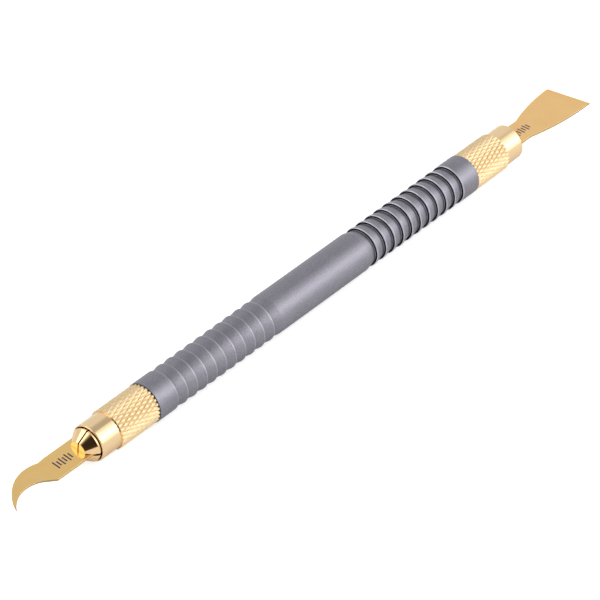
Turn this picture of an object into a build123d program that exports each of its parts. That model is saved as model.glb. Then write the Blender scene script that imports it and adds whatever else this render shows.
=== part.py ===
from build123d import *
import os
from math import radians, tan

# Double-ended chuck handle with a thin hooked blade at one end and a flared spatula blade at the other.
# The tool lies along X with its axis on Z = 0: hook end towards -X, spatula end towards +X.
# The origin is the middle of the handle, on its axis. All sizes are in millimetres.
# Each end is first built pointing along +X, and x is then the distance from the middle of the handle.

# Handle: one turned bar with a group of saw-tooth rings towards each end.
handle_length = 100.5
handle_radius = 4.5
handle_end_chamfer = 0.1
ring_count = 11
ring_pitch = 2.87
ring_land = 0.37
ring_depth = 0.65
ring_sag = 0.44            # share of the depth that a ring has fallen by the middle of its slope
first_step = 16.25         # from the middle of the handle to the innermost step

# Thread between the collet's stem and the handle, as plain cylinders with running clearance.
thread_radius = 2.5
thread_clearance = 0.05
thread_length = 12.0
thread_pitch = 0.8
thread_lead_in = 0.4
bore_depth = 14.0
drill_point_angle = 59

# Clamping sleeve.
sleeve_length = 15.8
sleeve_end_gap = 0.03
knurl_length = 10.55
knurl_radius = 4.4
knurl_chamfer = 0.12
neck_radius = 4.03
lip_rounding = 0.22
mouth_radius = 3.76
sleeve_bore_radius = 3.45
key_wall = 4.0             # length of the sleeve's keyed rear wall
key_clearance = 0.05

# Four-jaw collet.
nose_radius = 1.95
nose_length = 2.25
head_radius = 3.65
head_land = 0.1
clamp_taper = 8            # half angle of the clamping cone, in degrees
stem_radius = 2.95
stem_flat = 2.5            # from the axis to each of the stem's two flats
head_recess = 0.2          # from the sleeve's lip back to the head's widest edge, when clamped
shoulder_gap = 0.2         # from the handle's end to the stem's shoulder, when clamped
blade_slit = 0.5
cross_slit = 0.3
slit_root = 55.6           # inner end of the blade slit, when clamped
cross_slit_inset = 0.9     # the cross slit stops this much short of the blade slit's inner end
saw_overrun = 1.0          # how far past the nose each cut runs, and past an open end each bore

# Blades, both cut from the same strip.
blade_thickness = 0.4
shank_width = 6.0
tang_x = 57.0
tang_chamfer = 0.6
hook_offset = 0.2          # how far each blade sits off the axis, towards +Y
spatula_offset = 0.35
edge_bevel_width = 1.2
edge_bevel_depth = 0.14

# How each chuck stands: turns opened from clamped, and the angle that its slot was left at.
hook_turns_open = 1.0
hook_twist = 5.5
spatula_turns_open = 0.0
spatula_twist = 0.0

handle_end = handle_length / 2
lip_x = handle_end + sleeve_length


def turned(points):
    """A solid of revolution about X from the corners of half its section."""
    return revolve(make_face(Polyline(*points, close=True)), Axis.X)


def handle_outline():
    """The handle's outer line from the middle to the +X end: each ring falls outwards from a land to a step."""
    edges = []
    plain_end = first_step - ring_pitch
    groove_radius = handle_radius - ring_depth
    edges.append(Line((0, handle_radius), (plain_end, handle_radius)))
    for ring in range(ring_count):
        start = plain_end + ring * ring_pitch
        slope_start = start + ring_land
        step = start + ring_pitch
        slope_middle = ((slope_start + step) / 2, handle_radius - ring_sag * ring_depth)
        edges.append(Line((start, handle_radius), (slope_start, handle_radius)))
        edges.append(ThreePointArc((slope_start, handle_radius), slope_middle, (step, groove_radius)))
        edges.append(Line((step, groove_radius), (step, handle_radius)))
    last_step = plain_end + ring_count * ring_pitch
    chamfer_start = (handle_end - handle_end_chamfer, handle_radius)
    chamfer_end = (handle_end, handle_radius - handle_end_chamfer)
    edges.append(Line((last_step, handle_radius), chamfer_start))
    edges.append(Line(chamfer_start, chamfer_end))
    edges.append(Line(chamfer_end, (handle_end, 0)))
    return edges


def handle_bore():
    """A drilled and tapped hole in the +X end, with its conical bottom."""
    bottom = handle_end - bore_depth
    point = bottom - thread_radius / tan(radians(drill_point_angle))
    mouth = handle_end + saw_overrun
    return turned([(point, 0), (mouth, 0), (mouth, thread_radius), (bottom, thread_radius)])


def make_handle():
    half = handle_outline() + [Line((handle_end, 0), (0, 0)), Line((0, 0), (0, handle_radius))]
    bar = revolve(make_face(half), Axis.X) - handle_bore()
    return bar + mirror(bar, about=Plane.YZ)


def flatted_rod(start, end, radius, flat):
    """A round rod from start to end along X with two flats, above and below."""
    length = end - start
    rod = Pos(start, 0, 0) * Rot(0, 90, 0) * Cylinder(radius, length, align=(Align.CENTER, Align.CENTER, Align.MIN))
    slab = Pos(start, 0, 0) * Box(length, 2 * radius, 2 * flat, align=(Align.MIN, Align.CENTER, Align.CENTER))
    return rod & slab


def make_sleeve():
    """Knurled ring, smooth neck and tapered mouth. Its rear wall is keyed to the collet's flatted stem."""
    rear = handle_end + sleeve_end_gap
    knurl_end = rear + knurl_length
    taper_length = (mouth_radius - sleeve_bore_radius) / tan(radians(clamp_taper))
    body = turned([
        (rear, 0),
        (rear, knurl_radius - knurl_chamfer),
        (rear + knurl_chamfer, knurl_radius),
        (knurl_end - knurl_chamfer, knurl_radius),
        (knurl_end, knurl_radius - knurl_chamfer),
        (knurl_end, neck_radius),
        (lip_x - lip_rounding, neck_radius),
        (lip_x, neck_radius - lip_rounding),
        (lip_x, 0),
    ])
    hollow = turned([
        (rear + key_wall, 0),
        (rear + key_wall, sleeve_bore_radius),
        (lip_x - taper_length, sleeve_bore_radius),
        (lip_x, mouth_radius),
        (lip_x, 0),
    ])
    keyway = flatted_rod(rear, rear + key_wall, stem_radius + key_clearance, stem_flat + key_clearance)
    return body - hollow - keyway


def slit(width, root):
    """A saw cut through the collet from its nose back to root, lying flat in the XY plane."""
    reach = lip_x - head_recess + nose_length + saw_overrun - root
    return Pos(root, 0, 0) * Box(reach, 4 * head_radius, width, align=(Align.MIN, Align.CENTER, Align.CENTER))


def make_collet():
    """Threaded stem, flatted body and four jaws that the sleeve's mouth squeezes. Placed as when clamped."""
    shoulder = handle_end + shoulder_gap
    thread_start = shoulder - thread_length
    stem_in_bore = thread_radius - thread_clearance
    head = lip_x - head_recess
    cone_start = head - head_land
    cone_length = (head_radius - stem_radius) / tan(radians(clamp_taper))
    collet = turned([
        (thread_start, 0),
        (thread_start, stem_in_bore - thread_lead_in),
        (thread_start + thread_lead_in, stem_in_bore),
        (shoulder, stem_in_bore),
        (shoulder, stem_radius),
        (cone_start - cone_length, stem_radius),
        (cone_start, head_radius),
        (head, head_radius),
        (head + nose_length, nose_radius),
        (head + nose_length, 0),
    ])
    flat_length = slit_root - shoulder
    for side in (1, -1):
        middle = Pos(shoulder + flat_length / 2, 0, side * 2 * stem_flat)
        collet = collet - middle * Box(flat_length, 4 * stem_flat, 2 * stem_flat)
    collet = collet - slit(blade_slit, slit_root)
    return collet - Rot(90, 0, 0) * slit(cross_slit, slit_root + cross_slit_inset)


def blade_plate(outline):
    """A flat plate of the blade's thickness, centred on the XY plane, from its outline's edges."""
    return extrude(make_face(outline), blade_thickness / 2, both=True)


def tang_edges(low_y, high_y, low_x, high_x):
    """The shank's two long edges and its chamfered inner end, from (low_x, low_y) round to (high_x, high_y)."""
    corners = [
        (low_x, low_y),
        (tang_x + tang_chamfer, low_y),
        (tang_x, low_y + tang_chamfer),
        (tang_x, high_y - tang_chamfer),
        (tang_x + tang_chamfer, high_y),
        (high_x, high_y),
    ]
    return [Line(start, end) for start, end in zip(corners, corners[1:])]


def make_spatula_blade():
    """The shank flares into a scraper whose end is cut on the slant."""
    low_y = spatula_offset - shank_width / 2
    high_y = spatula_offset + shank_width / 2
    low_corner = (71.0, low_y)
    high_corner = (73.2, high_y)
    long_point = (89.3, -4.8)
    short_point = (87.6, 5.6)
    outline = tang_edges(low_y, high_y, low_corner[0], high_corner[0])
    outline.append(ThreePointArc(high_corner, (80.2, 5.0), short_point))
    outline.append(Line(short_point, long_point))
    outline.append(ThreePointArc(long_point, (79.6, -4.3), low_corner))
    plate = blade_plate(outline)
    end_edge = plate.edges().filter_by(Plane.XY).filter_by(GeomType.LINE).group_by(Axis.Z)[-1].sort_by(Axis.X)[-1]
    top = plate.faces().sort_by(Axis.Z)[-1]
    return chamfer(end_edge, edge_bevel_width, edge_bevel_depth, reference=top)


def make_hook_blade():
    """The shank runs into a hook that curves to one side and ends in a point. Built pointing along +X."""
    low_y = -hook_offset - shank_width / 2
    high_y = -hook_offset + shank_width / 2
    back_notch = (76.9, -3.05)
    back_turn = (84.4, -2.25)
    tip = (88.75, 3.05)
    inner_turn = (86.2, 0.86)
    inner_start = (79.6, 1.1)
    inner_corner = (77.3, high_y)
    outline = tang_edges(low_y, high_y, 75.3, inner_corner[0])
    outline.append(Line(inner_corner, inner_start))
    outline.append(ThreePointArc(inner_start, (83.0, 0.1), inner_turn))
    outline.append(ThreePointArc(inner_turn, (87.6, 1.85), tip))
    outline.append(ThreePointArc(tip, (87.3, 0.4), back_turn))
    outline.append(ThreePointArc(back_turn, (80.2, -3.6), back_notch))
    outline.append(Line(back_notch, (75.3, low_y)))
    return blade_plate(outline)


def place(shape, turns_open, twist, heading):
    """Moves a chuck part out by the turns it is opened, and turns it about the axis and onto its own end."""
    return Rot(twist, 0, 0) * Rot(0, 0, heading) * Pos(turns_open * thread_pitch, 0, 0) * shape


os.makedirs("parts", exist_ok=True)
export_step(make_handle(), "parts/handle.step")
for end, blade, turns_open, twist, heading in (
    ("hook", make_hook_blade(), hook_turns_open, hook_twist, 180),
    ("spatula", make_spatula_blade(), spatula_turns_open, spatula_twist, 0),
):
    export_step(place(make_sleeve(), 0, twist, heading), f"parts/{end}_end_sleeve.step")
    export_step(place(make_collet(), turns_open, twist, heading), f"parts/{end}_end_collet.step")
    export_step(place(blade, 0, twist, heading), f"parts/{end}_blade.step")
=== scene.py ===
import math

import bmesh
import bpy
import numpy as np
from mathutils import Matrix, Vector


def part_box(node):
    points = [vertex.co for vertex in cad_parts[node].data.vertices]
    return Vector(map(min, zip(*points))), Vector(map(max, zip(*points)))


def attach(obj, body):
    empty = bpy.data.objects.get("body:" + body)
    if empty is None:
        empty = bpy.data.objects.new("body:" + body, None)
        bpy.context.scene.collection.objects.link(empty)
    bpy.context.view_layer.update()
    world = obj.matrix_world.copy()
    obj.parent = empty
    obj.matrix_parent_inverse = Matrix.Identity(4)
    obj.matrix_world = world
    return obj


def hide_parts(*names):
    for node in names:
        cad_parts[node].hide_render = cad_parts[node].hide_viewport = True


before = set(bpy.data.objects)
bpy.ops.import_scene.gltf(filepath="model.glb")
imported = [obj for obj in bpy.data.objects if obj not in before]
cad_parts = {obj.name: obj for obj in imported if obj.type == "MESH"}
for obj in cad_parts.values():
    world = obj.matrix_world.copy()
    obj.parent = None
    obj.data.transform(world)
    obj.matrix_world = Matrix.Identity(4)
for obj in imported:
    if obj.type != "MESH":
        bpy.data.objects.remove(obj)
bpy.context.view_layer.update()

# The looks of a double-ended chuck tool: two blades held in collet chucks on one turned handle.
# Sizes are in millimetres, and are turned into metres as meshes are made. Every part of a chuck is
# built pointing along +X and then set on its own end of the handle.
MM = 0.001


def node_box(node):
    """Lowest and highest corner of a CAD node, in millimetres."""
    low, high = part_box(node)
    return low / MM, high / MM


# ---- Driving dimensions ------------------------------------------------------------------------------
HANDLE_END = node_box("handle")[1].x
HANDLE_RADIUS = 4.5
HANDLE_END_CHAMFER = 0.1
RING_COUNT = 11
RING_PITCH = 2.87
RING_LAND = 0.37
RING_DEPTH = 0.65
RING_SAG = 0.44                 # share of the depth that a ring has fallen by the middle of its slope
FIRST_STEP = 16.25              # from the middle of the handle to the innermost step
LAST_STEP = FIRST_STEP + (RING_COUNT - 1) * RING_PITCH
CREST_CHAMFER = 0.12            # on the land's outer corner, above each step
ROOT_ROUNDING = 0.22            # at the foot of each step

THREAD_RADIUS = 2.5
BORE_DEPTH = 14.0
BORE_ROUNDING = 0.05
DRILL_POINT_ANGLE = 59
STEM_RADIUS_IN_BORE = 2.45
THREAD_LENGTH = 12.0
THREAD_PITCH = 0.8
THREAD_LEAD_IN = 0.4

SLEEVE_END_GAP = 0.03           # from the handle to the sleeve
LIP_X = node_box("spatula_end_sleeve")[1].x
KNURL_LENGTH = 10.55
KNURL_RADIUS = 4.4
KNURL_CHAMFER = 0.04
KNURL_STARTS = 28
KNURL_HALF_PITCH = 1.28         # along the sleeve
KNURL_DEPTH = 0.2
KNURL_CREST = 0.4               # share of a pyramid that stays at full radius
KNURL_SPLITS = 4                # mesh steps for each half pitch
KNURL_SPACING = KNURL_HALF_PITCH / KNURL_SPLITS
NECK_RADIUS = 4.03
LIP_ROUNDING = 0.22
MOUTH_RADIUS = 3.76
MOUTH_ROUNDING = 0.04
SLEEVE_BORE_RADIUS = 3.45
KEY_WALL = 4.0                  # length of the sleeve's keyed rear wall
KEYWAY_RADIUS = 3.0
KEYWAY_FLAT = 2.55              # from the axis to each flat

NOSE_RADIUS = 1.95
NOSE_LENGTH = 2.25
HEAD_RADIUS = 3.65
HEAD_LAND = 0.1
CLAMP_TAPER = 8                 # half angle of the clamping cone, in degrees
STEM_RADIUS = 2.95
STEM_FLAT = 2.5                 # from the axis to each flat
HEAD_RECESS = 0.2               # from the sleeve's lip back to the head's widest edge, when clamped
SHOULDER_GAP = 0.2              # from the handle's end to the stem's shoulder, when clamped
BLADE_SLIT = 0.5
CROSS_SLIT = 0.3
SLIT_ROOT = 55.6                # inner end of the blade slit, when clamped
CROSS_SLIT_INSET = 0.9          # the cross slit stops this much short of it
NOSE_ROUNDING = 0.16
HEAD_ROUNDING = 0.03

BLADE_THICKNESS = 0.4
BLADE_EDGE = 0.03               # width of the fine chamfer round a blade
POINT_LIMIT = 0.35              # a sharp point of its outline is inset by at most the chamfer over this
SHANK_WIDTH = 6.0
TANG_X = 57.0                   # inner end of a blade's shank
TANG_CHAMFER = 0.6
HOOK_OFFSET = 0.2               # how far each blade sits off the axis
SPATULA_OFFSET = 0.35
SPATULA_SHORT_POINT = (87.6, 5.6)
SPATULA_LONG_POINT = (89.3, -4.8)
END_BEVEL_WIDTH = 1.2
END_BEVEL_DEPTH = 0.14

SMOOTH_ROUND_OUTLINE = 25       # degrees between faces that are shaded as one curve
SMOOTH_ELSEWHERE = 3

HOOK_TURNS_OPEN = 1.0
HOOK_TWIST = 5.5

TICK_COUNT = 6
TICK_PITCH = 0.78
TICK_SHARE = 0.42               # of each pitch is ink
LONG_TICK = 1.05                # half lengths of the bars, which are long and short by turns
SHORT_TICK = 0.7
HOOK_FIRST_TICK = (-75.0, 0.1)
SPATULA_FIRST_TICK = (69.2, 0.2)

HANDLE_SEGMENTS = 192
SLEEVE_SEGMENTS = 2 * KNURL_STARTS * KNURL_SPLITS
COLLET_SEGMENTS = 128


# ---- Profiles ----------------------------------------------------------------------------------------
def arc_through(start, middle, end, steps):
    """Points along the arc that runs from start through middle to end."""
    (ax, ay), (bx, by), (cx, cy) = start, middle, end
    d = 2 * (ax * (by - cy) + bx * (cy - ay) + cx * (ay - by))
    a2, b2, c2 = ax * ax + ay * ay, bx * bx + by * by, cx * cx + cy * cy
    centre = Vector(((a2 * (by - cy) + b2 * (cy - ay) + c2 * (ay - by)) / d,
                     (a2 * (cx - bx) + b2 * (ax - cx) + c2 * (bx - ax)) / d))
    radius = (Vector(start) - centre).length
    first, at_middle, at_end = (math.atan2(y - centre.y, x - centre.x) for x, y in (start, middle, end))
    sweep = (at_end - first) % math.tau
    if (at_middle - first) % math.tau > sweep:
        sweep -= math.tau
    points = []
    for i in range(steps + 1):
        angle = first + sweep * i / steps
        points.append((centre.x + radius * math.cos(angle), centre.y + radius * math.sin(angle)))
    return points


def outward(start, end):
    """The unit normal, as (x, r), to the left of the way from start to end."""
    way = Vector((end[0] - start[0], end[1] - start[1])).normalized()
    return (-way.y, way.x)


def round_corner(before, corner, after, radius, steps=4):
    """Points and normals of the arc that rounds a corner between two straight runs."""
    to_before = (Vector(before) - Vector(corner)).normalized()
    to_after = (Vector(after) - Vector(corner)).normalized()
    half = to_before.angle(to_after) / 2
    reach = radius / math.tan(half)
    centre = Vector(corner) + (to_before + to_after).normalized() * (radius / math.sin(half))
    first = Vector(corner) + to_before * reach - centre
    last = Vector(corner) + to_after * reach - centre
    side = 1 if Vector(outward(before, corner)).dot(first) > 0 else -1
    turn = first.angle_signed(last)
    result = []
    for i in range(steps + 1):
        angle = -turn * i / steps
        arm = Vector((first.x * math.cos(angle) - first.y * math.sin(angle),
                      first.x * math.sin(angle) + first.y * math.cos(angle)))
        result.append((tuple(centre + arm), tuple(arm.normalized() * side)))
    return result


def profile_bands(corners):
    """Bands of a turned profile from its corners (x, r, rounding), where the rounding may be left out.

    Each band is (start, end, its normals there). A corner may also be a list of points along a smooth
    curve, which keeps the curve's own normals.
    """
    flat = []
    smooth = set()
    for item in corners:
        run = item if isinstance(item, list) else [item]
        smooth.update(range(len(flat) + 1, len(flat) + len(run) - 1))
        flat += run
    ring = []                       # (point, normal arriving, normal leaving)
    for i, item in enumerate(flat):
        point = item[:2]
        before = flat[i - 1][:2] if i else None
        after = flat[i + 1][:2] if i < len(flat) - 1 else None
        rounding = item[2] if len(item) > 2 else 0
        if rounding and before and after:
            ring += [(p, n, n) for p, n in round_corner(before, point, after, rounding)]
            continue
        arriving = outward(before, point) if before else outward(point, after)
        leaving = outward(point, after) if after else arriving
        if i in smooth:
            arriving = leaving = tuple((Vector(arriving) + Vector(leaving)).normalized())
        ring.append((point, arriving, leaving))
    bands = []
    for (start, _, leave), (end, arrive, _) in zip(ring, ring[1:]):
        bands.append((start, end, leave, arrive))
    return bands


# ---- Meshes ------------------------------------------------------------------------------------------
def make_piece(name, points, faces, normals=None, place=None, marks=None):
    """A mesh object from points in millimetres, with exact corner normals where they are given."""
    points = np.asarray(points, float)
    place = place or Matrix.Identity(4)
    turn = np.array(place.to_3x3())
    shift = np.array(place.translation)
    mesh = bpy.data.meshes.new(name)
    mesh.from_pydata(((points @ turn.T + shift) * MM).tolist(), [], faces)
    mesh.polygons.foreach_set("use_smooth", [True] * len(mesh.polygons))
    for label, values in (marks or {}).items():
        layer = mesh.attributes.new(label, "FLOAT", "POINT")
        layer.data.foreach_set("value", np.asarray(values, np.float32))
    mesh.update()
    if normals is not None:
        corners = np.asarray(normals, float) @ turn.T
        mesh.normals_split_custom_set(corners.tolist())
    piece = bpy.data.objects.new(name, mesh)
    bpy.context.scene.collection.objects.link(piece)
    return piece


class Turning:
    """Collects rings round the X axis and the faces between them, with exact normals."""

    def __init__(self, segments):
        self.segments = segments
        self.angles = np.arange(segments) * math.tau / segments
        self.cos = np.cos(self.angles)
        self.sin = np.sin(self.angles)
        self.points = []
        self.faces = []
        self.normals = []
        self.marks = {}
        self.known = {}

    def ring(self, x, radius, key=None, **marks):
        """One ring of points, or one point on the axis. A ring asked for again is used again."""
        key = key or (round(x, 6), round(float(np.mean(radius)), 6))
        if key in self.known:
            return self.known[key]
        first = len(self.points)
        if np.ndim(radius) == 0 and radius < 1e-9:
            made = [first]
            self.points.append((x, 0.0, 0.0))
        else:
            radii = np.broadcast_to(radius, self.segments)
            made = list(range(first, first + self.segments))
            self.points += list(zip([x] * self.segments, radii * self.cos, radii * self.sin))
        for label, value in marks.items():
            self.marks.setdefault(label, {})
            values = np.broadcast_to(value, len(made))
            self.marks[label].update(zip(made, values))
        self.known[key] = made
        return made

    def normal_at(self, normal, i):
        """A profile's normal (x, r) as it stands at one segment."""
        return (normal[0], normal[1] * self.cos[i], normal[1] * self.sin[i])

    def add_face(self, corners, normals=None):
        """One face, with a normal for each corner, or flat without them."""
        self.faces.append(tuple(corners))
        if normals is None:
            p = [np.array(self.points[c]) for c in corners]
            face_normal = np.cross(p[1] - p[0], p[-1] - p[0])
            size = np.linalg.norm(face_normal)
            face_normal = face_normal / size if size else np.array((1.0, 0, 0))
            normals = [tuple(face_normal)] * len(corners)
        self.normals += normals

    def band(self, start, end, leave=None, arrive=None):
        """Faces from one ring to the next, smooth with the given normals, or flat without them."""
        if len(start) == 1 and len(end) == 1:
            return
        for i in range(self.segments):
            j = (i + 1) % self.segments
            if len(start) == 1:
                corners = (start[0], end[j], end[i])
                sides = ((leave, i), (arrive, j), (arrive, i))
            elif len(end) == 1:
                corners = (start[i], start[j], end[0])
                sides = ((leave, i), (leave, j), (arrive, i))
            else:
                corners = (start[i], start[j], end[j], end[i])
                sides = ((leave, i), (leave, j), (arrive, j), (arrive, i))
            self.add_face(corners, leave and [self.normal_at(*side) for side in sides])

    def profile(self, bands):
        """Rings and faces for every band of a profile."""
        for start, end, leave, arrive in bands:
            self.band(self.ring(*start), self.ring(*end), leave, arrive)

    def piece(self, name, place=None):
        """The finished object. Points that were given no mark have 0 there."""
        marks = {}
        for label, values in self.marks.items():
            marks[label] = [float(values.get(i, 0.0)) for i in range(len(self.points))]
        return make_piece(name, self.points, self.faces, self.normals, place, marks)


def stand(mesh, place):
    """Moves a finished mesh, in metres, by a placement in millimetres."""
    mesh.transform(Matrix.Scale(MM, 4) @ place @ Matrix.Scale(1 / MM, 4))


def chuck_place(turns_open, twist, heading):
    """Moves a chuck part out by the turns it is opened, and turns it about X and onto its own end."""
    lean = Matrix.Rotation(math.radians(twist), 4, "X")
    turn = Matrix.Rotation(math.radians(heading), 4, "Z")
    return lean @ turn @ Matrix.Translation((turns_open * THREAD_PITCH, 0, 0))


# ---- Handle ------------------------------------------------------------------------------------------
def half_handle():
    """The handle's outer line from its middle to the +X end."""
    plain_end = FIRST_STEP - RING_PITCH
    root_radius = HANDLE_RADIUS - RING_DEPTH
    line = [(0, HANDLE_RADIUS)]
    for ring in range(RING_COUNT):
        start = plain_end + ring * RING_PITCH
        slope_start = start + RING_LAND
        step = start + RING_PITCH
        slope_middle = ((slope_start + step) / 2, HANDLE_RADIUS - RING_SAG * RING_DEPTH)
        slope = arc_through((slope_start, HANDLE_RADIUS), slope_middle, (step, root_radius), steps=5)
        line.append(slope[:-1])
        line.append((step, root_radius, ROOT_ROUNDING))
        line.append((step, HANDLE_RADIUS - CREST_CHAMFER))
        line.append((step + CREST_CHAMFER, HANDLE_RADIUS))
    line.append((HANDLE_END - HANDLE_END_CHAMFER, HANDLE_RADIUS))
    line.append((HANDLE_END, HANDLE_RADIUS - HANDLE_END_CHAMFER))
    line.append((HANDLE_END, THREAD_RADIUS, BORE_ROUNDING))
    bottom = HANDLE_END - BORE_DEPTH
    line.append((bottom, THREAD_RADIUS))
    line.append((bottom - THREAD_RADIUS / math.tan(math.radians(DRILL_POINT_ANGLE)), 0))
    return line


def mirrored(line):
    """The same line at the -X end, in the order that keeps its outer side to the left."""
    result = []
    for item in reversed(line):
        if isinstance(item, list):
            result.append([(-x, r) for x, r in reversed(item)])
        else:
            result.append((-item[0], *item[1:]))
    return result


def make_handle():
    """The whole bar, from the bottom of one bore round the outside to the bottom of the other."""
    half = half_handle()
    turning = Turning(HANDLE_SEGMENTS)
    turning.profile(profile_bands(mirrored(half[1:]) + half))
    return turning.piece("handle_bar")


# ---- Sleeves -----------------------------------------------------------------------------------------
def knurl_radii(x, rear, front, angles):
    """Radius and depth of the knurl round one station: pyramids between two crossing sets of V grooves."""
    around = KNURL_STARTS * angles / math.tau
    along = (x - rear) / (2 * KNURL_HALF_PITCH)
    depth = np.zeros_like(angles)
    for phase in (around + along, around - along):
        depth = np.maximum(depth, np.abs(2 * (phase % 1.0) - 1))
    depth = np.maximum(0, depth - KNURL_CREST) / (1 - KNURL_CREST)
    radii = KNURL_RADIUS - KNURL_DEPTH * depth
    room = min(x - rear, front - x)
    return np.minimum(radii, KNURL_RADIUS - KNURL_CHAMFER + room), depth


def knurl_stations(rear, front):
    """Stations along the knurl that fall on the corners of its pyramids, with both ends."""
    first, last = rear + KNURL_CHAMFER, front - KNURL_CHAMFER
    grid = [rear + (i + 1) * KNURL_SPACING for i in range(int(KNURL_LENGTH / KNURL_SPACING))]
    return [rear, first] + [x for x in grid if first < x < last] + [last, front]


def add_knurl(turning, rear, front):
    """Adds the knurled band and returns its first and last ring."""
    rings = []
    for number, x in enumerate(knurl_stations(rear, front)):
        radii, depth = knurl_radii(x, rear, front, turning.angles)
        # each groove's depth carries the painted shade in the grooves and, at the knurl's rear end, the
        # painted shade of the notches
        notch_shade = depth if x < rear + 1.5 * KNURL_CHAMFER else 0.0
        marks = {"groove": depth, "notch_shade": notch_shade, "knurl": 1.0}
        rings.append((x, turning.ring(x, radii, key=("knurl", number), **marks)))
    for (x0, start), (x1, end) in zip(rings, rings[1:]):
        column = int(((x0 + x1) / 2 - rear) / KNURL_SPACING)
        for i in range(turning.segments):
            j = (i + 1) % turning.segments
            # the groove runs between the deep corners of each cell, and the diagonal follows it
            if (column // KNURL_SPLITS + i // KNURL_SPLITS) % 2 == 0:
                turning.add_face((start[i], start[j], end[j]))
                turning.add_face((start[i], end[j], end[i]))
            else:
                turning.add_face((start[i], start[j], end[i]))
                turning.add_face((start[j], end[j], end[i]))
    return rings[0][1], rings[-1][1]


def double_d(angles, radius, flat):
    """Radius of a round hole with two flats, above and below."""
    reach = np.abs(np.sin(angles))
    return np.minimum(radius, flat / np.maximum(reach, 1e-6))


def make_sleeve(name, place):
    """A clamping sleeve: knurled outside, a smooth neck, a tapered mouth and a keyed rear wall."""
    turning = Turning(SLEEVE_SEGMENTS)
    rear = HANDLE_END + SLEEVE_END_GAP
    front = rear + KNURL_LENGTH
    key_end = rear + KEY_WALL
    taper = (MOUTH_RADIUS - SLEEVE_BORE_RADIUS) / math.tan(math.radians(CLAMP_TAPER))
    keyway = double_d(turning.angles, KEYWAY_RADIUS, KEYWAY_FLAT)
    rear_hole = turning.ring(rear, keyway, key="rear hole")
    rear_rim, front_rim = add_knurl(turning, rear, front)
    turning.band(rear_hole, rear_rim)
    shoulder = turning.ring(front, NECK_RADIUS)
    turning.band(front_rim, shoulder, (1.0, 0.0), (1.0, 0.0))
    outside = [
        (front, NECK_RADIUS),
        (LIP_X, NECK_RADIUS, LIP_ROUNDING),
        (LIP_X, MOUTH_RADIUS, MOUTH_ROUNDING),
        (LIP_X - taper, SLEEVE_BORE_RADIUS),
        (key_end, SLEEVE_BORE_RADIUS),
    ]
    turning.profile(profile_bands(outside))
    corner = turning.ring(key_end, SLEEVE_BORE_RADIUS)
    inner_hole = turning.ring(key_end, keyway, key="inner hole")
    turning.band(corner, inner_hole)
    turning.band(inner_hole, rear_hole)
    return turning.piece(name, place)


# ---- Collets -----------------------------------------------------------------------------------------
def collet_outline():
    """The collet's outer line from the end of its thread to its nose, as it stands when clamped."""
    shoulder = HANDLE_END + SHOULDER_GAP
    thread_start = shoulder - THREAD_LENGTH
    head = LIP_X - HEAD_RECESS
    cone_start = head - HEAD_LAND
    cone_length = (HEAD_RADIUS - STEM_RADIUS) / math.tan(math.radians(CLAMP_TAPER))
    nose = head + NOSE_LENGTH
    return [
        (thread_start, 0),
        (thread_start, STEM_RADIUS_IN_BORE - THREAD_LEAD_IN),
        (thread_start + THREAD_LEAD_IN, STEM_RADIUS_IN_BORE),
        (shoulder, STEM_RADIUS_IN_BORE),
        (shoulder, STEM_RADIUS),
        (cone_start - cone_length, STEM_RADIUS),
        (cone_start, HEAD_RADIUS, HEAD_ROUNDING),
        (head, HEAD_RADIUS, HEAD_ROUNDING),
        (nose, NOSE_RADIUS, NOSE_ROUNDING),
        (nose, 0),
    ]


def box_mesh(name, low, high):
    """A closed box between two opposite corners."""
    corners = [(x, y, z) for x in (low[0], high[0]) for y in (low[1], high[1]) for z in (low[2], high[2])]
    faces = [(0, 1, 3, 2), (4, 6, 7, 5), (0, 4, 5, 1), (2, 3, 7, 6), (0, 2, 6, 4), (1, 5, 7, 3)]
    return make_piece(name, corners, faces)


def cut(piece, tools):
    """Cuts closed tool shapes out of a piece and removes them."""
    for tool in tools:
        cutter = piece.modifiers.new("cut", "BOOLEAN")
        cutter.operation = "DIFFERENCE"
        cutter.solver = "EXACT"
        cutter.object = tool
    evaluated = piece.evaluated_get(bpy.context.evaluated_depsgraph_get())
    made = bpy.data.meshes.new_from_object(evaluated)
    piece.modifiers.clear()
    piece.data = made
    for tool in tools:
        bpy.data.objects.remove(tool)


ON_BAND = 0.01                  # a turned face's centre is nearer than this to its band
BAND_MARGIN = 0.02              # and no further past the band's ends than this share of its length
ALONG_FACE = 0.98               # least dot product of a turned face's own normal and the exact one


def band_normal(bands, centre, point):
    """The profile's normal at a point (x, r), on the band that passes through the face's centre (x, r)."""
    normal = None
    nearest = ON_BAND
    for start, end, leave, arrive in bands:
        length = math.dist(start, end)
        if length < 1e-6:
            continue
        way = ((end[0] - start[0]) / length, (end[1] - start[1]) / length)
        to_centre = (centre[0] - start[0], centre[1] - start[1])
        to_point = (point[0] - start[0], point[1] - start[1])
        share = (to_centre[0] * way[0] + to_centre[1] * way[1]) / length
        off = abs(to_centre[0] * way[1] - to_centre[1] * way[0])
        if -BAND_MARGIN <= share <= 1 + BAND_MARGIN and off < nearest:
            own = min(1, max(0, (to_point[0] * way[0] + to_point[1] * way[1]) / length))
            normal = [leave[axis] * (1 - own) + arrive[axis] * own for axis in (0, 1)]
            nearest = off
    return normal


def lathe_normals(piece, bands):
    """Exact normals on the turned faces of a cut piece, and flat ones on the cut faces."""
    mesh = piece.data
    normals = []
    for face in mesh.polygons:
        centre = face.center / MM
        middle = (centre.x, math.hypot(centre.y, centre.z))
        for loop in face.loop_indices:
            point = mesh.vertices[mesh.loops[loop].vertex_index].co / MM
            found = band_normal(bands, middle, (point.x, math.hypot(point.y, point.z)))
            normal = face.normal
            if found:
                along, out = found
                around = math.atan2(point.z, point.y)
                exact = Vector((along, out * math.cos(around), out * math.sin(around))).normalized()
                if exact.dot(face.normal) > ALONG_FACE:
                    normal = exact
            normals.append(tuple(normal))
    mesh.normals_split_custom_set(normals)


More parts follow.
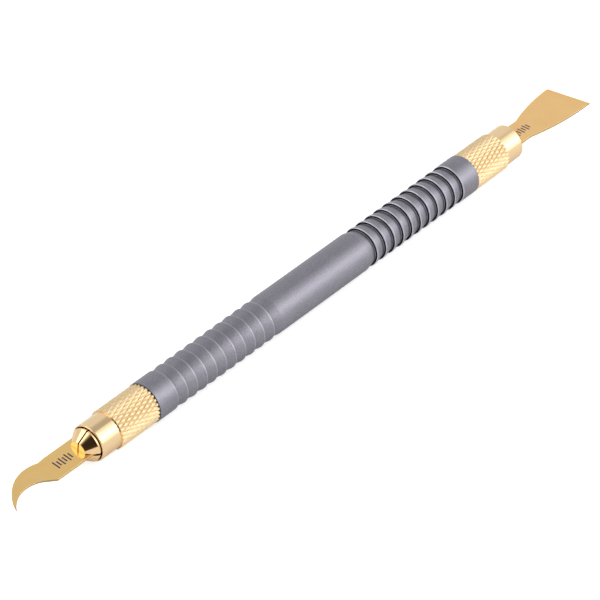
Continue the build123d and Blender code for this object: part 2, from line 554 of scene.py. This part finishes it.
def make_collet(name, place):
    """The turned collet with its two flats, the blade slit and the cross slit cut out of it."""
    bands = profile_bands(collet_outline())
    turning = Turning(COLLET_SEGMENTS)
    turning.profile(bands)
    collet = turning.piece(name)
    nose = LIP_X - HEAD_RECESS + NOSE_LENGTH + 1
    wide = HEAD_RADIUS + 1
    shoulder = HANDLE_END + SHOULDER_GAP
    cross_root = SLIT_ROOT + CROSS_SLIT_INSET
    tools = [
        box_mesh("upper flat", (shoulder, -wide, STEM_FLAT), (SLIT_ROOT, wide, wide)),
        box_mesh("lower flat", (shoulder, -wide, -wide), (SLIT_ROOT, wide, -STEM_FLAT)),
        box_mesh("blade slit", (SLIT_ROOT, -wide, -BLADE_SLIT / 2), (nose, wide, BLADE_SLIT / 2)),
        box_mesh("cross slit", (cross_root, -CROSS_SLIT / 2, -wide), (nose, CROSS_SLIT / 2, wide)),
    ]
    cut(collet, tools)
    lathe_normals(collet, bands)
    normals = np.zeros(len(collet.data.loops) * 3, np.float32)
    collet.data.corner_normals.foreach_get("vector", normals)
    stand(collet.data, place)
    turn = np.array(place.to_3x3())
    collet.data.normals_split_custom_set((normals.reshape(-1, 3) @ turn.T).tolist())
    return collet


# ---- Blades ------------------------------------------------------------------------------------------
def tang(low_y, high_y):
    """The shank's inner end, from its lower edge to its upper edge."""
    return [
        (TANG_X + TANG_CHAMFER, low_y),
        (TANG_X, low_y + TANG_CHAMFER),
        (TANG_X, high_y - TANG_CHAMFER),
        (TANG_X + TANG_CHAMFER, high_y),
    ]


def spatula_outline():
    """Clockwise, pointing along +X: the shank flares into a scraper whose end is cut on the slant."""
    low_y = SPATULA_OFFSET - SHANK_WIDTH / 2
    high_y = SPATULA_OFFSET + SHANK_WIDTH / 2
    low_corner = (71.0, low_y)
    high_corner = (73.2, high_y)
    line = tang(low_y, high_y)
    line += arc_through(high_corner, (80.2, 5.0), SPATULA_SHORT_POINT, steps=24)
    line += arc_through(SPATULA_LONG_POINT, (79.6, -4.3), low_corner, steps=24)
    return line


def hook_outline():
    """Clockwise, pointing along +X: the shank runs into a hook that curves to one side and to a point."""
    low_y = -HOOK_OFFSET - SHANK_WIDTH / 2
    high_y = -HOOK_OFFSET + SHANK_WIDTH / 2
    back_notch = (76.9, -3.05)
    back_turn = (84.4, -2.25)
    tip = (88.75, 3.05)
    inner_turn = (86.2, 0.86)
    inner_start = (79.6, 1.1)
    inner_corner = (77.3, high_y)
    line = tang(low_y, high_y) + [inner_corner]
    line += arc_through(inner_start, (83.0, 0.1), inner_turn, steps=20)
    line += arc_through(inner_turn, (87.6, 1.85), tip, steps=14)[1:]
    line += arc_through(tip, (87.3, 0.4), back_turn, steps=20)[1:]
    line += arc_through(back_turn, (80.2, -3.6), back_notch, steps=20)[1:]
    line.append((75.3, low_y))
    return line


def inset(line, amount):
    """The outline moved inwards by amount, less at a sharp point. The line runs clockwise."""
    result = []
    count = len(line)
    for i in range(count):
        before = Vector(line[i - 1])
        here = Vector(line[i])
        after = Vector(line[(i + 1) % count])
        n0 = Vector(((here - before).y, -(here - before).x)).normalized()
        n1 = Vector(((after - here).y, -(after - here).x)).normalized()
        middle = (n0 + n1).normalized()
        grow = 1 / max(POINT_LIMIT, middle.dot(n0))
        result.append(tuple(here + middle * amount * grow))
    return result


def bevel_end(work, start, end):
    """Thins a plate towards the edge from start to end by sloping its upper side down."""
    along = Vector((end[0] - start[0], end[1] - start[1], 0)).normalized()
    out = Vector((-along.y, along.x, 0))
    inner = (Vector((*start, 0)) - out * END_BEVEL_WIDTH) * MM
    plate = work.verts[:] + work.edges[:] + work.faces[:]
    bmesh.ops.bisect_plane(work, geom=plate, dist=1e-8, plane_co=inner, plane_no=out)
    slope = END_BEVEL_DEPTH / END_BEVEL_WIDTH
    for corner in work.verts:
        past = (corner.co - inner).dot(out)
        if past > 0 and corner.co.z > 0:
            corner.co.z = min(corner.co.z, BLADE_THICKNESS / 2 * MM - past * slope)


def make_blade(name, line, place, end_edge=None):
    """A thin plate with a fine chamfer along both of its edges, and a broad bevel along its end edge."""
    half = BLADE_THICKNESS / 2
    count = len(line)
    inner = inset(line, BLADE_EDGE)
    loops = [
        [(x, y, half) for x, y in inner],
        [(x, y, half - BLADE_EDGE) for x, y in line],
        [(x, y, BLADE_EDGE - half) for x, y in line],
        [(x, y, -half) for x, y in inner],
    ]
    points = [p for loop in loops for p in loop]
    faces = [tuple(range(count))[::-1], tuple(range(3 * count, 4 * count))]
    for first in (0, count, 2 * count):
        second = first + count
        for i in range(count):
            j = (i + 1) % count
            faces.append((first + i, first + j, second + j, second + i))
    on_edge = [0.0] * count + [1.0] * (2 * count) + [0.0] * count
    blade = make_piece(name, points, faces, marks={"edge": on_edge})
    work = bmesh.new()
    work.from_mesh(blade.data)
    if end_edge:
        bevel_end(work, *end_edge)
    bmesh.ops.recalc_face_normals(work, faces=work.faces)
    work.normal_update()
    for edge in work.edges:
        upright = all(abs(face.normal.z) < 0.1 for face in edge.link_faces)
        limit = SMOOTH_ROUND_OUTLINE if upright else SMOOTH_ELSEWHERE
        edge.smooth = edge.calc_face_angle(math.pi) < math.radians(limit)
    bmesh.ops.triangulate(work, faces=[face for face in work.faces if len(face.verts) > 4])
    work.to_mesh(blade.data)
    work.free()
    stand(blade.data, place)
    return blade


# ---- Materials ---------------------------------------------------------------------------------------
class Nodes:
    """Short calls for the nodes of a material or world. A value is a number, a colour or an output."""

    def __init__(self, owner):
        owner.use_nodes = True
        self.nodes = owner.node_tree.nodes
        self.links = owner.node_tree.links
        self.coordinates = self.nodes.new("ShaderNodeTexCoord").outputs

    def feed(self, value, socket):
        """Links an output to a socket, or sets a number or a colour there."""
        if isinstance(value, (int, float)):
            socket.default_value = value
        elif isinstance(value, tuple):
            socket.default_value = (*value, 1)
        else:
            self.links.new(value, socket)

    def math(self, operation, a, b=0.5, clamp=False):
        node = self.nodes.new("ShaderNodeMath")
        node.operation = operation
        node.use_clamp = clamp
        self.feed(a, node.inputs[0])
        self.feed(b, node.inputs[1])
        return node.outputs[0]

    def times(self, a, b):
        return self.math("MULTIPLY", a, b)

    def plus(self, a, b):
        return self.math("ADD", a, b)

    def minus(self, a, b):
        return self.math("SUBTRACT", a, b)

    def size(self, a):
        return self.math("ABSOLUTE", a)

    def remap(self, value, low, high, from_low=0.3, from_high=0.7, smooth=False):
        """A value carried from one range, by default that of a noise, to another, and held at its ends."""
        node = self.nodes.new("ShaderNodeMapRange")
        if smooth:
            node.interpolation_type = "SMOOTHSTEP"
        ends = {"From Min": from_low, "From Max": from_high, "To Min": low, "To Max": high}
        for name, number in {**ends, "Value": value}.items():
            self.feed(number, node.inputs[name])
        return node.outputs[0]

    def mix(self, share, first, second):
        node = self.nodes.new("ShaderNodeMix")
        node.data_type = "RGBA"
        for slot, value in ((0, share), (6, first), (7, second)):
            self.feed(value, node.inputs[slot])
        return node.outputs[2]

    def split(self, vector):
        """The outputs X, Y and Z of a vector."""
        node = self.nodes.new("ShaderNodeSeparateXYZ")
        self.feed(vector, node.inputs[0])
        return node.outputs


class Shader(Nodes):
    """A Principled material, a metal unless it says otherwise."""

    def __init__(self, name, base, roughness, metallic=1.0):
        self.material = bpy.data.materials.new(name)
        super().__init__(self.material)
        self.out = self.nodes["Principled BSDF"].inputs
        self.feed(base, self.out["Base Color"])
        self.feed(roughness, self.out["Roughness"])
        self.feed(metallic, self.out["Metallic"])
        self.place = self.coordinates["Object"]

    def noise(self, scale, detail=2.0, stretch=(1, 1, 1)):
        """Noise with features of about 1/scale metres, drawn finer along an axis by its stretch."""
        mapping = self.nodes.new("ShaderNodeMapping")
        mapping.inputs["Scale"].default_value = stretch
        self.feed(self.place, mapping.inputs["Vector"])
        node = self.nodes.new("ShaderNodeTexNoise")
        self.feed(scale, node.inputs["Scale"])
        self.feed(detail, node.inputs["Detail"])
        self.feed(mapping.outputs[0], node.inputs["Vector"])
        return node.outputs["Fac"]

    def tint(self, colour, share):
        """A colour made lighter or darker by a share."""
        node = self.nodes.new("ShaderNodeVectorMath")
        node.operation = "SCALE"
        self.feed(colour, node.inputs[0])
        self.feed(share, node.inputs["Scale"])
        return node.outputs[0]

    def attribute(self, name):
        """A mark that the mesh carries at its points."""
        node = self.nodes.new("ShaderNodeAttribute")
        node.attribute_name = name
        return node.outputs["Fac"]

    def bump(self, height, distance):
        node = self.nodes.new("ShaderNodeBump")
        self.feed(1.0, node.inputs["Strength"])
        self.feed(distance, node.inputs["Distance"])
        self.feed(height, node.inputs["Height"])
        self.feed(node.outputs[0], self.out["Normal"])


DYE = ((0.274, 0.266, 0.305), (0.293, 0.284, 0.325))    # the handle's grey varies between these two
# painted shade on the walls of the rings, as a share taken off the base colour
WALL_PAINTED_SHADE = 0.95           # where a ring's wall faces along the tool
# painted highlight on the crests of the rings, added to the base colour
CORNER_PAINTED_HIGHLIGHT = 1.2               # lighter on the chamfer of a ring's crest
LAND_PAINTED_HIGHLIGHT = 0.45                # lighter beside that chamfer
PAINTED_HIGHLIGHT_FADE = (0.20, 0.36)        # from the step, along the land

SLEEVE_GOLD = (0.95, 0.70, 0.41)
COLLET_GOLD = (0.95, 0.68, 0.37)
# paler gold on the knurl: a painted sheen for its many small highlights
KNURL_SHEEN_GOLD = (0.91, 0.75, 0.48)
# share of the gold kept in the painted shade of a knurl groove
GROOVE_SHADE = (0.86, 0.84, 0.78)
# painted shade in the notches at the knurl's rear end
NOTCH_SHADE_BROWN = (0.07, 0.045, 0.025)

HOOK_COATING = (0.97, 0.65, 0.245)
SPATULA_COATING = (0.95, 0.62, 0.275)
GRAZING_GOLD = (1.0, 0.72, 0.40)
BARE_EDGE = (0.44, 0.32, 0.18)
INK = (0.035, 0.022, 0.07)


def crest_painted_highlight(s, along, lean, crest):
    """How much painted highlight lies on each ring's crest, on its chamfer and in a fading band on its
    land.
    """
    beat = s.math("FRACT", s.math("DIVIDE", s.minus(along, FIRST_STEP * MM), RING_PITCH * MM))
    fade = [end / RING_PITCH for end in PAINTED_HIGHLIGHT_FADE]
    land = s.remap(beat, LAND_PAINTED_HIGHLIGHT, 0, *fade)
    land = s.times(land, s.remap(s.noise(600, detail=3), 0.4, 1.6))
    corner = s.remap(lean, 0, CORNER_PAINTED_HIGHLIGHT, from_low=0.3, from_high=0.6)
    return s.times(s.math("MAXIMUM", corner, land), crest)


def anodised():
    """Dark grey satin anodising over a fine blasted grain and turning marks.

    The turned walls, which face along the tool, get painted shade, and a painted highlight lies on the ring
    crests.
    """
    s = Shader("anodised", DYE[0], roughness=0.38)
    marks = s.noise(1, detail=3, stretch=(9000, 260, 260))
    fine = s.noise(15000, detail=2)
    coarse = s.noise(5200, detail=2)
    patches = s.noise(170, detail=3)
    place = s.split(s.place)
    along = s.size(place["X"])
    lean = s.size(s.split(s.coordinates["Normal"])["X"])
    radius = s.math("SQRT", s.plus(s.math("POWER", place["Y"], 2), s.math("POWER", place["Z"], 2)))
    # 1 on the crests, from the foot of their chamfers, and 0 on the walls and away from the rings
    chamfer_foot = HANDLE_RADIUS - CREST_CHAMFER
    crest = s.remap(radius, 0, 1, (chamfer_foot - 0.01) * MM, chamfer_foot * MM)
    past_first = s.math("GREATER_THAN", along, (FIRST_STEP - 0.05) * MM)
    before_last = s.math("LESS_THAN", along, (LAST_STEP + 1) * MM)
    crest = s.times(crest, s.times(past_first, before_last))
    # painted shade: the colour is darkened where the surface faces along the tool, on the ring walls and
    # the handle's end chamfers, but not on the crests
    wall = s.remap(lean, 0, WALL_PAINTED_SHADE, from_low=0.5, from_high=0.8)
    wall = s.times(wall, s.minus(1.0, crest))
    # painted highlight: the crests are lightened on their chamfers and along a fading band of their lands
    shade = s.plus(s.minus(1.0, wall), crest_painted_highlight(s, along, lean, crest))
    speckle = s.remap(coarse, 0.80, 1.20)
    s.feed(s.tint(s.mix(s.remap(patches, 0, 1), *DYE), s.times(speckle, shade)), s.out["Base Color"])
    s.feed(s.plus(s.remap(patches, 0.39, 0.45), s.remap(fine, -0.05, 0.05)), s.out["Roughness"])
    grain = s.plus(s.times(fine, 0.5), s.times(coarse, 0.8))
    s.bump(s.plus(s.times(marks, 0.3), grain), 0.02 * MM)
    return s.material


def gold_plate(name, base, roughness):
    """Polished pale gold plating, with painted shade in the grooves, duller on the knurl with a paler
    painted sheen, and painted shade in the rear notches.
    """
    s = Shader(name, base, roughness)
    marks = s.noise(1, detail=3, stretch=(8000, 300, 300))
    patches = s.noise(260, detail=3)
    knurl = s.attribute("knurl")
    deep = tuple(c * k for c, k in zip(base, GROOVE_SHADE))
    light = tuple(min(1, c * 1.03) for c in base)
    plate = s.mix(s.remap(patches, 0, 1), base, light)
    # painted sheen: the knurl is made paler for its many small highlights
    plate = s.mix(s.times(knurl, 0.8), plate, KNURL_SHEEN_GOLD)
    # painted shade in the knurl's grooves, darker towards their bottoms
    plate = s.mix(s.times(s.attribute("groove"), 0.9), plate, deep)
    # painted shade in the notches at the knurl's rear end, next to the handle
    notch_shade = s.math("MULTIPLY", s.attribute("notch_shade"), 1.6, clamp=True)
    s.feed(s.mix(notch_shade, plate, NOTCH_SHADE_BROWN), s.out["Base Color"])
    worn = s.plus(s.remap(patches, roughness * 0.8, roughness * 1.25), s.times(knurl, 0.34))
    s.feed(s.plus(worn, s.remap(marks, -0.015, 0.015)), s.out["Roughness"])
    s.bump(marks, 0.0015 * MM)
    return s.material


def graduation(s, first_tick):
    """1 on the printed bars of a short scale, which runs from first_tick towards +X, and 0 elsewhere."""
    place = s.split(s.place)
    step = s.math("DIVIDE", s.minus(place["X"], first_tick[0] * MM), TICK_PITCH * MM)
    tall = s.math("LESS_THAN", s.math("FRACT", s.times(step, 0.5)), 0.5)
    reach = s.plus(s.times(tall, (LONG_TICK - SHORT_TICK) * MM), SHORT_TICK * MM)
    off = s.size(s.minus(place["Y"], first_tick[1] * MM))
    ink = s.math("LESS_THAN", s.math("FRACT", step), TICK_SHARE)
    for limit in (s.math("GREATER_THAN", step, 0.0), s.math("LESS_THAN", step, TICK_COUNT),
                  s.math("LESS_THAN", off, reach)):
        ink = s.times(ink, limit)
    return ink


def coated_blade(name, base, first_tick):
    """Gold nitride over a ground blade, with a row of printed graduation bars."""
    s = Shader(name, base, roughness=0.2)
    s.feed(GRAZING_GOLD, s.out["Specular Tint"])
    marks = s.noise(1, detail=4, stretch=(160, 15000, 2000))
    patches = s.noise(220, detail=3)
    ink = graduation(s, first_tick)
    bare = s.math("GREATER_THAN", s.attribute("edge"), 0.6)
    plate = s.mix(s.remap(patches, 0, 1), base, tuple(min(1, c + 0.03) for c in base))
    plate = s.mix(bare, plate, BARE_EDGE)
    s.feed(s.mix(ink, plate, INK), s.out["Base Color"])
    s.feed(s.minus(1.0, s.times(ink, 0.8)), s.out["Metallic"])
    coat = s.plus(s.remap(patches, 0.17, 0.23), s.remap(marks, -0.04, 0.04))
    s.feed(s.plus(coat, s.times(ink, 0.3)), s.out["Roughness"])
    s.bump(marks, 0.002 * MM)
    return s.material


# ---- Building the object -----------------------------------------------------------------------------
def fit(piece, material, body):
    """Gives a piece its material, and lets it stand for the CAD node that has its body's name."""
    piece.data.materials.clear()
    piece.data.materials.append(material)
    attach(piece, body)
    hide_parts(body)


hook_still = chuck_place(0, HOOK_TWIST, 180)
hook_open = chuck_place(HOOK_TURNS_OPEN, HOOK_TWIST, 180)
spatula_still = chuck_place(0, 0, 0)
spatula_edge = (SPATULA_SHORT_POINT, SPATULA_LONG_POINT)

sleeve_gold = gold_plate("sleeve_gold", SLEEVE_GOLD, roughness=0.11)
collet_gold = gold_plate("collet_gold", COLLET_GOLD, roughness=0.06)
hook_coating = coated_blade("hook_coating", HOOK_COATING, HOOK_FIRST_TICK)
spatula_coating = coated_blade("spatula_coating", SPATULA_COATING, SPATULA_FIRST_TICK)

fit(make_handle(), anodised(), "handle")
fit(make_sleeve("hook_sleeve", hook_still), sleeve_gold, "hook_end_sleeve")
fit(make_sleeve("spatula_sleeve", spatula_still), sleeve_gold, "spatula_end_sleeve")
fit(make_collet("hook_collet", hook_open), collet_gold, "hook_end_collet")
fit(make_collet("spatula_collet", spatula_still), collet_gold, "spatula_end_collet")
hook_strip = make_blade("hook_strip", hook_outline(), hook_still)
fit(hook_strip, hook_coating, "hook_blade")
spatula_strip = make_blade("spatula_strip", spatula_outline(), spatula_still, spatula_edge)
fit(spatula_strip, spatula_coating, "spatula_blade")


# ---- Studio, in metres -------------------------------------------------------------------------------
FLOOR_Z = -(HANDLE_RADIUS + 0.02) * MM      # just clear of the handle
FLOOR_SIDE = 8.0
FLOOR_GLOW = 0.60
CAMERA_PLACE = Vector((-405.731, -344.166, 413.126)) * MM
CAMERA_LOOK = Vector((0.59808, 0.51136, -0.61710))
CAMERA_LENS = 197.53            # millimetres, on a sensor 36 mm wide
ALONG_TOOL, ACROSS_TOOL, UP = (1, 0, 0), (0, 1, 0), (0, 0, 1)
FRONT = (0.60, -0.67, 0.44)
LEFT = (-0.41, 0.50, 0.76)
HOOK_NOSE = Vector((-(LIP_X + NOSE_LENGTH), 0, 0)) * MM


def stage_plate(name, length, width, material):
    """A flat plate of the studio, which is no part of the object."""
    corners = [(x * length / 2, y * width / 2, 0) for x, y in ((-1, -1), (1, -1), (1, 1), (-1, 1))]
    mesh = bpy.data.meshes.new(name)
    mesh.from_pydata(corners, [], [(0, 1, 2, 3)])
    mesh.materials.append(material)
    plate = bpy.data.objects.new(name, mesh)
    bpy.context.scene.collection.objects.link(plate)
    return plate


def glow(name, edge, middle, colour, thin_ends):
    """Light that is strongest along a plate's long middle line and fades smoothly to its long edges.

    With thin_ends the plate also turns clear towards its two ends, so that its reflection ends softly.
    """
    material = bpy.data.materials.new(name)
    n = Nodes(material)
    n.nodes.remove(n.nodes["Principled BSDF"])
    place = n.split(n.coordinates["Generated"])
    light = n.nodes.new("ShaderNodeEmission")
    n.feed(colour, light.inputs["Color"])
    off_middle = n.size(n.minus(place["Y"], 0.5))
    strength = n.remap(off_middle, middle, edge, from_low=0.0, from_high=0.5, smooth=True)
    n.feed(strength, light.inputs["Strength"])
    surface = light.outputs[0]
    if thin_ends:
        clear = n.nodes.new("ShaderNodeBsdfTransparent")
        blend = n.nodes.new("ShaderNodeMixShader")
        off_middle = n.size(n.minus(place["X"], 0.5))
        n.feed(n.remap(off_middle, 0.0, 1.0, from_low=0.26, from_high=0.5, smooth=True), blend.inputs[0])
        n.feed(surface, blend.inputs[1])
        n.feed(clear.outputs[0], blend.inputs[2])
        surface = blend.outputs[0]
    n.feed(surface, n.nodes["Material Output"].inputs["Surface"])
    return material


def panel(name, direction, long_way, distance, length, width, edge, middle, diffuse=True, glossy=True,
          target=(0, 0, 0), colour=(1, 1, 1), thin_ends=False):
    """A panel in a direction from a target on the tool, facing it, with its length along long_way.

    It lights and reflects, and the camera doesn't see it.
    """
    away = Vector(direction).normalized()
    along = Vector(long_way)
    along = (along - away * along.dot(away)).normalized()
    across = away.cross(along)
    plate = stage_plate(name, length, width, glow(name, edge, middle, colour, thin_ends))
    turn = Matrix((along, -across, -away)).transposed()
    plate.matrix_world = Matrix.Translation(Vector(target) + away * distance) @ turn.to_4x4()
    plate.visible_camera = False
    plate.visible_shadow = False
    plate.visible_diffuse = diffuse
    plate.visible_glossy = glossy


def make_floor():
    """A plain pale floor, with a faint glow towards the camera that keeps the contact shadow soft."""
    s = Shader("pale_floor", (0.74, 0.74, 0.74), roughness=0.9, metallic=0.0)
    seen = s.nodes.new("ShaderNodeLightPath").outputs["Is Camera Ray"]
    s.feed((1, 1, 1), s.out["Emission Color"])
    s.feed(s.times(seen, FLOOR_GLOW), s.out["Emission Strength"])
    grain = s.remap(s.noise(900, detail=3), 0, 1)
    s.feed(s.mix(grain, (0.73, 0.73, 0.73), (0.75, 0.75, 0.75)), s.out["Base Color"])
    floor = stage_plate("floor", FLOOR_SIDE, FLOOR_SIDE, s.material)
    floor.location.z = FLOOR_Z


def make_world():
    """A pale room that is a little dimmer overhead than round the horizon."""
    world = bpy.data.worlds.new("studio")
    bpy.context.scene.world = world
    n = Nodes(world)
    background = n.nodes["Background"].inputs
    height = n.split(n.coordinates["Generated"])["Z"]
    strength = n.remap(height, low=0.80, high=0.50, from_low=0.69, from_high=0.84, smooth=True)
    n.feed(strength, background["Strength"])
    n.feed((1, 1, 1), background["Color"])


def make_camera():
    """A long lens that looks down on the tool from beside its hook end."""
    data = bpy.data.cameras.new("camera")
    data.sensor_width = 36.0
    data.lens = CAMERA_LENS
    data.shift_x = -0.0004
    data.shift_y = -0.0007
    data.clip_start = 0.01
    data.clip_end = 20.0
    camera = bpy.data.objects.new("camera", data)
    bpy.context.scene.collection.objects.link(camera)
    camera.location = CAMERA_PLACE
    camera.rotation_mode = "QUATERNION"
    camera.rotation_quaternion = CAMERA_LOOK.to_track_quat("-Z", "Y")
    bpy.context.scene.camera = camera


make_floor()
make_world()
panel("front_softbox", FRONT, ALONG_TOOL, distance=1.6, length=2.2, width=2.45, edge=0.95, middle=1.9)
panel("front_strip", FRONT, ALONG_TOOL, distance=1.5, length=1.8, width=1.25, edge=1.4, middle=2.5)
panel("left_softbox", LEFT, ACROSS_TOOL, distance=1.6, length=1.5, width=1.05, edge=0.9, middle=2.3)
panel("overhead", UP, ALONG_TOOL, distance=1.5, length=2.0, width=2.0, edge=1.25, middle=1.25, glossy=False)
# a small brown card close to the hook's nose, for the collet's cone to reflect
panel("dark_card", (-0.61, -0.60, 0.52), (0, 0.70, 0.71), distance=0.09, length=0.17, width=0.046,
      edge=0.08, middle=0.03, diffuse=False, target=HOOK_NOSE, colour=(1.0, 0.68, 0.42), thin_ends=True)
make_camera()
bpy.context.scene.view_settings.view_transform = "Standard"
bpy.context.scene.view_settings.look = "None"
